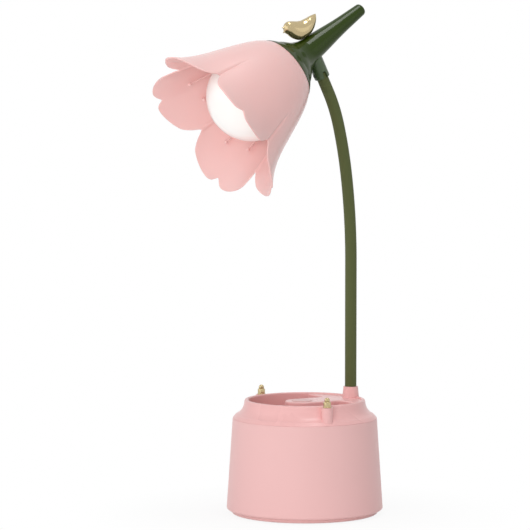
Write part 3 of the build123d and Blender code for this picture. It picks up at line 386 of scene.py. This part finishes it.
def petal_radius(depth, off_middle, curl=0.0):
    """A circle's arc through the petal's middle and both creases, less a narrow groove.

    The crease lies inside the middle by its inset times the square of the depth share. The
    groove is its depth times e^(-(angle from the crease / its width)^2), faded in with depth,
    and the curl adds its own length times a cosine and the square of its depth share.
    """
    middle = bell_radius(depth)
    past = np.clip(depth - crease_start, 0, None)
    crease = middle - crease_inset * (past / (valley_depth - crease_start)) ** 2
    half = petal_step / 2
    centre = (middle ** 2 - crease ** 2) / (2 * (middle - crease * cos(half)))
    arc = centre * np.cos(off_middle) + np.sqrt((middle - centre) ** 2
                                                - (centre * np.sin(off_middle)) ** 2)
    groove = groove_depth * np.exp(-((half - np.abs(off_middle)) / groove_width) ** 2)
    bent = np.clip((depth - curl_start) / curl_run, 0, None) ** 2
    lifted = curl * np.cos(off_middle * pi / petal_step) * bent
    return arc - groove * np.clip(past / groove_fade, 0, 1) + lifted


def shade_grid(along=72, per_petal=84):
    """Rows follow the edge: depth is a share of the edge's depth at that angle.

    Columns crowd at notches and creases: the share of a petal's half is moved by its sine.
    """
    crowding = 0.55
    share = np.linspace(-1, 1, per_petal, endpoint=False)
    share = share - crowding * np.sin(2 * pi * share) / (2 * pi)
    off = np.tile(share * petal_step / 2, petal_count)
    turn = petal_turn + off + np.repeat(np.arange(petal_count) * petal_step, per_petal)
    edge = through(np.degrees(np.abs(off)), edge_angles, edge_depths)
    edge = valley_depth + (edge - valley_depth) * np.repeat(petal_reach, per_petal)
    row = np.linspace(0, 1, along)[:, None]
    depth = row * edge[None, :]
    curl = np.repeat(petal_curl, per_petal)[None, :]
    return on_flower(depth, petal_radius(depth, off[None, :], curl), turn[None, :]), turn


outer_skin, skin_turn = shade_grid()
print("shade grid", outer_skin.shape)

# %% [markdown]
# ## A wall that thins towards its lip
# The wall is the outer skin moved inwards along its own normals. The normal at each point is
# the cross product of the grid's two directions. Moulded petals are drafted, so the wall gets
# thinner towards the mouth, and half a circle across the edge joins both skins.


# %% Wall and lip
def walled(grid, thickness, lip_steps=7):
    """Skin, lip, skin moved inwards and the first row again, as one closed surface."""
    along = np.gradient(grid, axis=0)
    around = np.roll(grid, -1, axis=1) - np.roll(grid, 1, axis=1)
    normal = np.cross(along, around)
    normal /= np.linalg.norm(normal, axis=-1, keepdims=True)
    outwards = np.sign(np.sum(normal * (grid - grid.mean(axis=1, keepdims=True))))
    normal *= outwards
    inner = grid - normal * thickness[:, None, None] * mm
    ahead = np.cross(normal[-1], around[-1])
    ahead /= np.linalg.norm(ahead, axis=-1, keepdims=True)
    ahead *= np.sign(np.sum(ahead * along[-1], axis=-1, keepdims=True))
    a = np.linspace(0, pi, lip_steps + 2)[1:-1, None, None]
    half = thickness[-1] / 2 * mm
    lip = (grid[-1] + inner[-1]) / 2 + half * (normal[-1] * np.cos(a) + ahead * np.sin(a))
    return np.concatenate([grid, lip, inner[::-1], grid[:1]])


root_profile = ((-6.0, 5.0), (-6.0, 9.0), (-5.9, 12.0), (-3.3, 17.0), (-1.2, 19.0))
root_wall, lip_wall, taper_start = 1.8, 1.0, 0.6
back = np.stack([on_flower(d, r, skin_turn) for d, r in root_profile])
skin = np.concatenate([back, outer_skin])
wall = np.interp(np.linspace(0, 1, len(skin)), (0.0, taper_start, 1.0),
                 (root_wall, root_wall, lip_wall))
shade = grid_piece("petal_shade", walled(skin, wall), sharp_deg=60)
dress(shade, pink_petal)
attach(shade, "head")
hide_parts("flower_shade")

# %% [markdown]
# ## The calyx and its horn
# The green cap hugs the back of the bell like the sepals of a flower and runs out into a
# straight horn. It is one turned piece, so its outline is enough: a thin skirt over the bell, a
# concave throat and a long taper with a softly rounded end. The closed end is a pole of the
# grid, and the rim rolls over into the hollow that holds the shade.

# %% Turn the calyx
horn_length, throat_radius = 74.2, 22.2
outline = np.array([(0.072, 0.766), (0.112, 0.635), (0.155, 0.550), (0.222, 0.455),
                    (0.333, 0.414), (0.389, 0.396), (0.667, 0.285), (0.965, 0.208)])
taper_end, tip_radius = outline[-1] * (horn_length, throat_radius)
skirt_reach, skirt_rows, skirt_edge, skirt_root = 5.4, 14, 0.35, 0.9
skirt = np.linspace(skirt_reach, 0.0, skirt_rows)
run = np.concatenate([-skirt, outline[:, 0] * horn_length])
lift = np.concatenate([np.linspace(skirt_edge, skirt_root, skirt_rows) + bell_radius(skirt),
                       outline[:, 1] * throat_radius])
back_run = np.concatenate([-skirt, np.linspace(0.4, taper_end, 90)])

# The weighted mean of nine neighbours takes the last unevenness out of the read points
mean_reach = 4
soft = np.hanning(2 * mean_reach + 3)[1:-1]
measured = np.pad(through(back_run, run, lift), mean_reach, mode="reflect", reflect_type="odd")
outer = np.convolve(measured, soft / soft.sum(), mode="valid")

# The hollow that holds the shade, and the quarter of an ellipse that rounds the tip
hollow, hollow_gap = np.array([0.0, 2.5, 5.2, 5.45, 5.48]), (0.05, 0.05, 0.05, 0.1, 0.25)
socket_depth, socket_radius = -1.6, 19.2
tip_length, tip_inset = 2.5, 2.2
turn = np.linspace(0, pi / 2, 10)[1:]
depths = np.concatenate([[socket_depth], hollow, -back_run,
                         -taper_end - tip_length * np.sin(turn), [-horn_length]])
radii = np.concatenate([[socket_radius], bell_radius(hollow) + hollow_gap, outer,
                        tip_radius - tip_inset * (1 - np.cos(turn)), [0.0]])
calyx = turned_on_flower("calyx_and_horn", depths, radii)
dress(calyx, green_polish)
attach(calyx, "head")
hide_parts("calyx_horn")

# %% [markdown]
# ## The globe
# The globe is a blown ball of opal plastic with a short neck that sits in the holder. Its
# outline is a circle that is cut off where it meets the neck, and the whole ball glows
# evenly, because opal plastic spreads the light of the lamps behind it.

# %% Blow the globe
ball_radius, ball_centre = 32.8, 39.6
stub_radius, stub_bore, stub_start, stub_end = 18.6, 16.6, 11.0, 4.8
cut = np.arcsin(stub_radius / ball_radius)
swing = np.linspace(0, pi - cut, 96)
depths = np.concatenate([ball_centre + ball_radius * np.cos(swing),
                         [stub_start, stub_end, stub_end]])
radii = np.concatenate([ball_radius * np.sin(swing), [stub_radius, stub_radius, stub_bore]])
globe = turned_on_flower("opal_globe", depths, radii)
dress(globe, opal)
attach(globe, "head")
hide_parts("globe_diffuser")

# %% [markdown]
# ## The neck's sleeve
# The neck is a bending core in a smooth sleeve, with no joint to be seen. The model carries it
# as a row of short links, so the sleeve is made in stretches that run from the middle of one
# link to the middle of the next, and the stretches meet flush.
# The line of the neck is straight at first and then bends in arcs of shrinking radius.

# %% The line of the neck
neck_radius, neck_y, neck_z, longest_run = 4.3, 39.8, 92.0, 250.0
arcs = ((93.0, 0.0), (500.0 * radians(7.6), 500.0), (330.0 * radians(6.4), 330.0),
        (120.0 * radians(12.0), 120.0), (40.0, 0.0))


def neck_line(run):
    """Points and directions at runs above the collar: tilt grows by length over radius."""
    fine = np.linspace(0, longest_run, 5001)
    ends = np.cumsum([length for length, _ in arcs])
    bend = np.select([fine <= end for end in ends], [1 / r if r else 0.0 for _, r in arcs], 0.0)
    step = fine[1] - fine[0]
    tilt = np.concatenate([[0], np.cumsum((bend[1:] + bend[:-1]) / 2 * step)])
    middle = (tilt[1:] + tilt[:-1]) / 2
    y = neck_y - np.concatenate([[0], np.cumsum(np.sin(middle) * step)])
    z = neck_z + np.concatenate([[0], np.cumsum(np.cos(middle) * step)])
    below = np.minimum(run, 0)
    y, z, tilt = (np.interp(run, fine, values) for values in (y, z, tilt))
    return y, z + below, tilt


def sleeve_grid(low, high, rows=25, steps=48):
    """A circle carried along the line of the neck, square to it, with closed ends."""
    run = np.concatenate([[low], np.linspace(low, high, rows), [high]])
    radius = np.full(rows + 2, neck_radius)
    radius[[0, -1]] = 0
    y, z, tilt = neck_line(run)
    a = np.linspace(0, 2 * pi, steps, endpoint=False)
    out = radius[:, None] * np.cos(a)
    return np.stack([radius[:, None] * np.sin(a), y[:, None] + out * np.cos(tilt)[:, None],
                     z[:, None] + out * np.sin(tilt)[:, None]], axis=-1) * mm


neck_end = [round(float(v), 2) for v in neck_line(longest_run)[:2]]
print("the line of the neck ends at y, z", neck_end, "mm")

# %% Draw the sleeve over the links
joint_count, first_joint, last_joint = 10, 8.0, 226.11
sleeve_low, sleeve_high, rigid_low, rigid_high = -3.6, 237.0, 1.0, 232.0
joint_run = np.linspace(first_joint, last_joint, joint_count)
cuts = np.concatenate([[sleeve_low], (joint_run[1:] + joint_run[:-1]) / 2, [sleeve_high]])
hidden = ["neck_root"] + [f"neck_link_{k}" for k in range(1, joint_count)] + ["neck_tip"]


def neck_point(run):
    """A point of the neck's line as a tuple in metres."""
    y, z, _ = neck_line(run)
    return (0.0, float(y) * mm, float(z) * mm)


for k, (low, high) in enumerate(zip(cuts, cuts[1:])):
    sleeve = grid_piece(f"neck_sleeve_{k + 1}", sleeve_grid(low, high))
    dress(sleeve, olive_sleeve)
    neck_point(max(low, rigid_low))
    neck_point(min(high, rigid_high))
    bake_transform(sleeve)
    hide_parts(*(hidden[:2] if k == 0 else [hidden[k + 1]]))

# %% [markdown]
# ## The bird
# The little bird is cast metal: a plump drop with a round head and a tail that sweeps up. Its
# body is a row of ellipses along a curved spine. Height, width and tilt of each ellipse are
# smooth curves through a few measured stations, and the head end is closed by the square root
# of a circle's formula, so that it is round and not pointed. Two small cones are its beak.

# %% Cast the bird
spine_share = (0.0, 0.13, 0.22, 0.34, 0.45, 0.56, 0.70, 0.81, 0.91, 0.965, 1.0)
spine_y = (-18.1, -14.6, -12.05, -8.25, -4.85, -1.5, 2.6, 5.06, 7.3, 8.45, 8.9)
spine_z = (358.0, 357.9, 357.2, 356.3, 356.05, 357.15, 359.2, 361.4, 364.15, 366.2, 367.9)
half_tall = (4.3, 4.75, 5.66, 6.6, 7.06, 6.95, 6.45, 5.38, 3.54, 1.95, 0.3)
half_wide = (3.9, 4.3, 4.95, 5.5, 5.8, 5.8, 5.2, 4.2, 2.8, 1.5, 0.3)
spine_tilt = (-4.0, -5.0, -8.6, -10.9, -3.6, 0.0, 5.3, 10.0, 13.0, 13.0, 13.0)
head_share, beak_y, beak_z = 0.13, -14.2, 358.1


def bird_grid(rows=96, steps=64):
    """Ellipses along the spine; in the head they are scaled by sqrt(1 - (1 - s / head)^2)."""
    s = (1 - np.cos(np.linspace(0, pi, rows))) / 2
    y, z, tall, wide, tilt = (through(s, spine_share, v)[:, None] for v in (
        spine_y, spine_z, half_tall, half_wide, spine_tilt))
    cap = np.sqrt(1 - (1 - np.clip(s / head_share, 0, 1)) ** 2)[:, None]
    tall, wide, tilt = tall * cap, wide * cap, np.radians(tilt)
    tall[-1], wide[-1] = 0, 0
    a = np.linspace(0, 2 * pi, steps, endpoint=False)[None, :]
    up = tall * np.cos(a)
    return np.stack([wide * np.sin(a), y - up * np.sin(tilt), z + up * np.cos(tilt)], axis=-1) * mm


def beak_grid(droop, reach, root=2.3, tip=0.3):
    """A cone that starts inside the head and narrows in a straight line to a small tip."""
    share = np.array([0.0, 0.0, 0.35, 0.7, 0.93, 1.0, 1.0])[:, None]
    width = np.array([0.0, root, root * 0.68, root * 0.36, tip * 1.2, tip, 0.0])[:, None]
    a = np.linspace(0, 2 * pi, 32, endpoint=False)[None, :]
    along, up = share * reach, width * np.cos(a)
    d = radians(droop)
    return np.stack([width * np.sin(a), beak_y - along * cos(d) - up * sin(d),
                     beak_z - along * sin(d) + up * cos(d)], axis=-1) * mm


bird = grid_piece("gold_bird", bird_grid())
beaks = [grid_piece("upper_beak", beak_grid(droop=1.0, reach=5.4)),
         grid_piece("lower_beak", beak_grid(droop=41.0, reach=6.0))]
for piece in [bird, *beaks]:
    dress(piece, pale_gold)
    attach(piece, "head")
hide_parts("bird")

# %% [markdown]
# ## The pegs
# Two small gold pegs stand on bosses of the cover, one at each side of the rim. Each is turned
# on a lathe: a flange, a drum with a soft edge and a ball that sits on it. Flange and drum are
# a few points, and the ball is an arc of a circle.

# %% Turn the pegs
def peg_grid(x, y, foot=84.0, ball_radius=2.0, ball_height=5.4, steps=64):
    """A profile of radius against height, spun about an upright line."""
    ball = np.linspace(-pi / 6, pi / 2, 14)
    height = np.concatenate([[-1.0, -1.0, 0.0, 0.12, 0.5, 0.68, 0.74, 3.7, 4.1, 4.33, 4.4],
                             ball_height + ball_radius * np.sin(ball)])
    radius = np.concatenate([[0.0, 1.5, 3.0, 3.1, 3.1, 3.0, 2.75, 2.75, 2.65, 2.4, 2.1],
                             ball_radius * np.cos(ball)])
    a = np.linspace(0, 2 * pi, steps, endpoint=False)[None, :]
    return np.stack([x + radius[:, None] * np.cos(a), y + radius[:, None] * np.sin(a),
                     np.repeat(foot + height[:, None], steps, axis=1)], axis=-1) * mm


for node in ("left_peg", "right_peg"):
    low, high = (np.array(c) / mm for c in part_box(node))
    x, y = (low[:2] + high[:2]) / 2
    peg = grid_piece(f"gold_{node}", peg_grid(x, y), sharp_deg=50)
    dress(peg, pale_gold)
    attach(peg, "base")
    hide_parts(node)

# %% [markdown]
# ## Floor, light and air
# The lamp stands on a plain white floor that fades into the white air within a hand's width.
# To the camera, and in mirrors and glass, floor and air are plain white, which a Light Path
# node decides. The light that reaches the lamp is softer: the air is brighter overhead than at
# the horizon, and five lamps shape it, as in a small photo tent. Two broad ones stand in front
# and at the left in front. A strong low one at the right in front brightens that flank; it is
# kept out of reflections, where it would glare on the flat deck. A faint one behind at the
# right lifts the far edge. A long one hangs above, where it also draws the bright line along
# the polished horn.


# %% Two helpers for floor and air
def looked_at(tree):
    """1 on camera, glossy and transmission rays, 0 on the rays that only carry light."""
    path = tree.nodes.new("ShaderNodeLightPath")
    seen = path.outputs["Is Camera Ray"]
    for ray in ("Is Glossy Ray", "Is Transmission Ray"):
        either = tree.nodes.new("ShaderNodeMath")
        either.operation = "MAXIMUM"
        tree.links.new(seen, either.inputs[0])
        tree.links.new(path.outputs[ray], either.inputs[1])
        seen = either.outputs[0]
    return seen


def ramp(tree, source, low, high, low_value, high_value):
    """A straight rise from low_value at low to high_value at high, level outside."""
    made = tree.nodes.new("ShaderNodeMapRange")
    for key, value in (("From Min", low), ("From Max", high), ("To Min", low_value),
                       ("To Max", high_value)):
        made.inputs[key].default_value = value
    tree.links.new(source, made.inputs["Value"])
    return made.outputs["Result"]


# %% Lay the floor
half = 6.0
floor_mesh = bpy.data.meshes.new("floor")
floor_mesh.from_pydata([(-half, -half, 0), (half, -half, 0), (half, half, 0), (-half, half, 0)],
                       [], [(0, 1, 2, 3)])
floor = bpy.data.objects.new("floor", floor_mesh)
bpy.context.scene.collection.objects.link(floor)
white = bpy.data.materials.new("white_floor")
white.use_nodes = True
tree = white.node_tree
tree.nodes.clear()
place, far = tree.nodes.new("ShaderNodeTexCoord"), tree.nodes.new("ShaderNodeVectorMath")
far.operation = "LENGTH"
tree.links.new(place.outputs["Object"], far.inputs[0])
share = tree.nodes.new("ShaderNodeMath")
share.operation = "MULTIPLY"
tree.links.new(looked_at(tree), share.inputs[0])
tree.links.new(ramp(tree, far.outputs["Value"], 0.06, 0.16, 0.90, 1.0), share.inputs[1])
matt, glow = tree.nodes.new("ShaderNodeBsdfDiffuse"), tree.nodes.new("ShaderNodeEmission")
matt.inputs["Color"].default_value = (0.86, 0.86, 0.86, 1)
blend, ends = tree.nodes.new("ShaderNodeMixShader"), tree.nodes.new("ShaderNodeOutputMaterial")
tree.links.new(share.outputs[0], blend.inputs["Fac"])
tree.links.new(matt.outputs[0], blend.inputs[1])
tree.links.new(glow.outputs[0], blend.inputs[2])
tree.links.new(blend.outputs[0], ends.inputs["Surface"])
dress(floor, white)
print("floor", half * 2, "m wide")

# %% Fill the air
horizon_strength, overhead_strength = 0.08, 0.66
world = bpy.data.worlds.new("photo_tent")
bpy.context.scene.world = world
world.use_nodes = True
tree = world.node_tree
tree.nodes.clear()
way, parts = tree.nodes.new("ShaderNodeTexCoord"), tree.nodes.new("ShaderNodeSeparateXYZ")
tree.links.new(way.outputs["Generated"], parts.inputs[0])
air, shown = tree.nodes.new("ShaderNodeBackground"), tree.nodes.new("ShaderNodeBackground")
air.inputs["Color"].default_value = shown.inputs["Color"].default_value = (1, 1, 1, 1)
shown.inputs["Strength"].default_value = 1.0
tree.links.new(ramp(tree, parts.outputs["Z"], 0.05, 0.85, horizon_strength, overhead_strength),
               air.inputs["Strength"])
mix, ends = tree.nodes.new("ShaderNodeMixShader"), tree.nodes.new("ShaderNodeOutputWorld")
tree.links.new(looked_at(tree), mix.inputs["Fac"])
tree.links.new(air.outputs[0], mix.inputs[1])
tree.links.new(shown.outputs[0], mix.inputs[2])
tree.links.new(mix.outputs[0], ends.inputs["Surface"])
print("air from", horizon_strength, "to", overhead_strength)


# %% Hang the lamps
def soft_lamp(name, place, width, watts, length=None, mirrored=True):
    """A square or oblong area lamp that looks at the middle of the desk lamp."""
    middle = Vector((0.0, -0.02, 0.19))
    data = bpy.data.lights.new(name, "AREA")
    data.shape, data.energy = "RECTANGLE", watts
    data.size, data.size_y = width, length or width
    lamp = bpy.data.objects.new(name, data)
    bpy.context.scene.collection.objects.link(lamp)
    lamp.location = place
    lamp.rotation_mode = "QUATERNION"
    lamp.rotation_quaternion = (middle - Vector(place)).to_track_quat("-Z", "Y")
    lamp.visible_glossy = mirrored


soft_lamp("front", (0.25, -1.2, 0.5), width=0.9, watts=1.8)
soft_lamp("left", (-0.6, -1.0, 0.6), width=0.9, watts=2.0)
soft_lamp("right", (1.1, 0.7, 0.45), width=0.8, watts=0.7)
soft_lamp("low_right", (0.95, -0.95, 0.3), width=0.55, watts=5.6, mirrored=False)
soft_lamp("above", (0.16, 0.02, 1.4), width=0.27, watts=4.0, length=0.6)
print(len(bpy.data.lights), "lamps")
